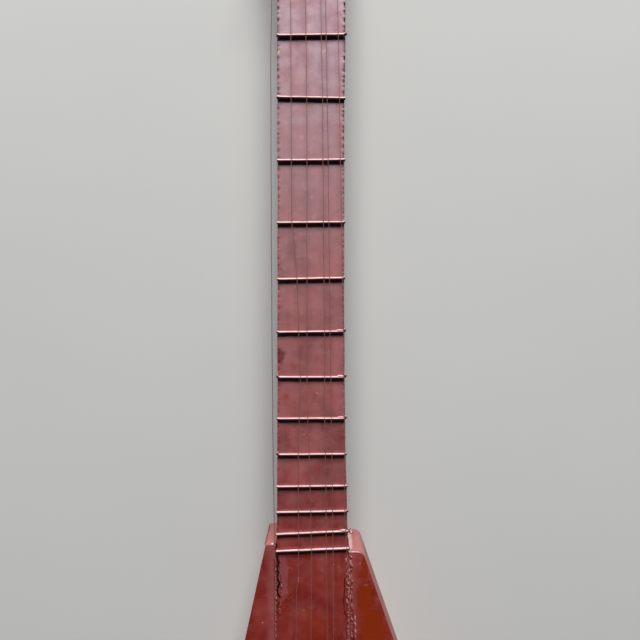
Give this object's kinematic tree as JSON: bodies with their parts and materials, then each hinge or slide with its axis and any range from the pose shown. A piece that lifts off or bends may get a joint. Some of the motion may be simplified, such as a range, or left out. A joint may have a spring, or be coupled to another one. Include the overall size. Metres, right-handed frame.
{
  "type": "sitar",
  "caption": "Welded sheet-steel sitar: a long fretted box neck through a flat pear-shaped box body, a raked peg box, wire strings and a side drone string.",
  "frame": {"origin": "on the outside of the back plate, under the neck's centre line; the body's shoulders are near y = 0.2 m and its tail near y = -0.21 m", "axes": "+Y up the neck towards the pegs, +Z out of the front towards the strings, +X to the right seen from the front"},
  "size_m": [0.25, 1.27, 0.0823],
  "materials": {
    "red_oxide_paint": "glossy brushed red-oxide paint, scratched and chipped",
    "painted_weld": "rippled weld bead under red-oxide paint",
    "bare_steel": "dull bare steel",
    "string_wire": "old steel music wire"
  },
  "bodies": {
    "instrument": {"back_plate": "red_oxide_paint", "front_wing_left": "red_oxide_paint", "front_wing_right": "red_oxide_paint", "side_wall_left": "red_oxide_paint", "side_wall_right": "red_oxide_paint", "shoulder_wall_left": "red_oxide_paint", "shoulder_wall_right": "red_oxide_paint", "tail_band": "red_oxide_paint", "heel_plate": "red_oxide_paint", "fingerboard_plate": "red_oxide_paint", "neck_channel": "red_oxide_paint", "pegbox_channel": "red_oxide_paint", "pegbox_end_plate": "red_oxide_paint", "fret_01": "red_oxide_paint", "fret_02": "red_oxide_paint", "fret_03": "red_oxide_paint", "fret_04": "red_oxide_paint", "fret_05": "red_oxide_paint", "fret_06": "red_oxide_paint", "fret_07": "red_oxide_paint", "fret_08": "red_oxide_paint", "fret_09": "red_oxide_paint", "fret_10": "red_oxide_paint", "fret_11": "red_oxide_paint", "fret_12": "red_oxide_paint", "fret_13": "red_oxide_paint", "fret_14": "red_oxide_paint", "fret_15": "red_oxide_paint", "weld_bead_left": "painted_weld", "weld_bead_right": "painted_weld", "nut": "bare_steel", "bridge_table": "bare_steel", "bridge_leg_left": "bare_steel", "bridge_leg_right": "bare_steel", "tailpiece": "bare_steel", "drone_post": "bare_steel", "string_1": "string_wire", "string_2": "string_wire", "string_3": "string_wire", "string_4": "string_wire", "string_5": "string_wire", "string_drone": "string_wire"},
    "tuner_1": {"peg_1": "bare_steel", "peg_collar_1": "bare_steel", "winding_1": "string_wire"},
    "tuner_2": {"peg_2": "bare_steel", "peg_collar_2": "bare_steel", "winding_2": "string_wire"},
    "tuner_3": {"peg_3": "bare_steel", "peg_collar_3": "bare_steel", "winding_3": "string_wire"},
    "tuner_4": {"peg_4": "bare_steel", "peg_collar_4": "bare_steel", "winding_4": "string_wire"},
    "tuner_5": {"peg_5": "bare_steel", "peg_collar_5": "bare_steel", "winding_5": "string_wire"},
    "tuner_drone": {"peg_drone": "bare_steel", "peg_collar_drone": "bare_steel", "winding_drone": "string_wire"}
  },
  "joints": [
    {"name": "tuning_peg_1", "type": "hinge", "parent": "instrument", "child": "tuner_1", "pos_m": [0, 0.92897, 0.0455], "axis": [1, 0, 0], "continuous": true},
    {"name": "tuning_peg_2", "type": "hinge", "parent": "instrument", "child": "tuner_2", "pos_m": [0, 0.97565, 0.0343], "axis": [1, 0, 0], "continuous": true},
    {"name": "tuning_peg_3", "type": "hinge", "parent": "instrument", "child": "tuner_3", "pos_m": [0, 1.02232, 0.0231], "axis": [1, 0, 0], "continuous": true},
    {"name": "tuning_peg_4", "type": "hinge", "parent": "instrument", "child": "tuner_4", "pos_m": [0, 0.99899, 0.0287], "axis": [1, 0, 0], "continuous": true},
    {"name": "tuning_peg_5", "type": "hinge", "parent": "instrument", "child": "tuner_5", "pos_m": [0, 0.95231, 0.0399], "axis": [1, 0, 0], "continuous": true},
    {"name": "tuning_peg_drone", "type": "hinge", "parent": "instrument", "child": "tuner_drone", "pos_m": [0, 0.83, 0.05], "axis": [1, 0, 0], "continuous": true}
  ]
}
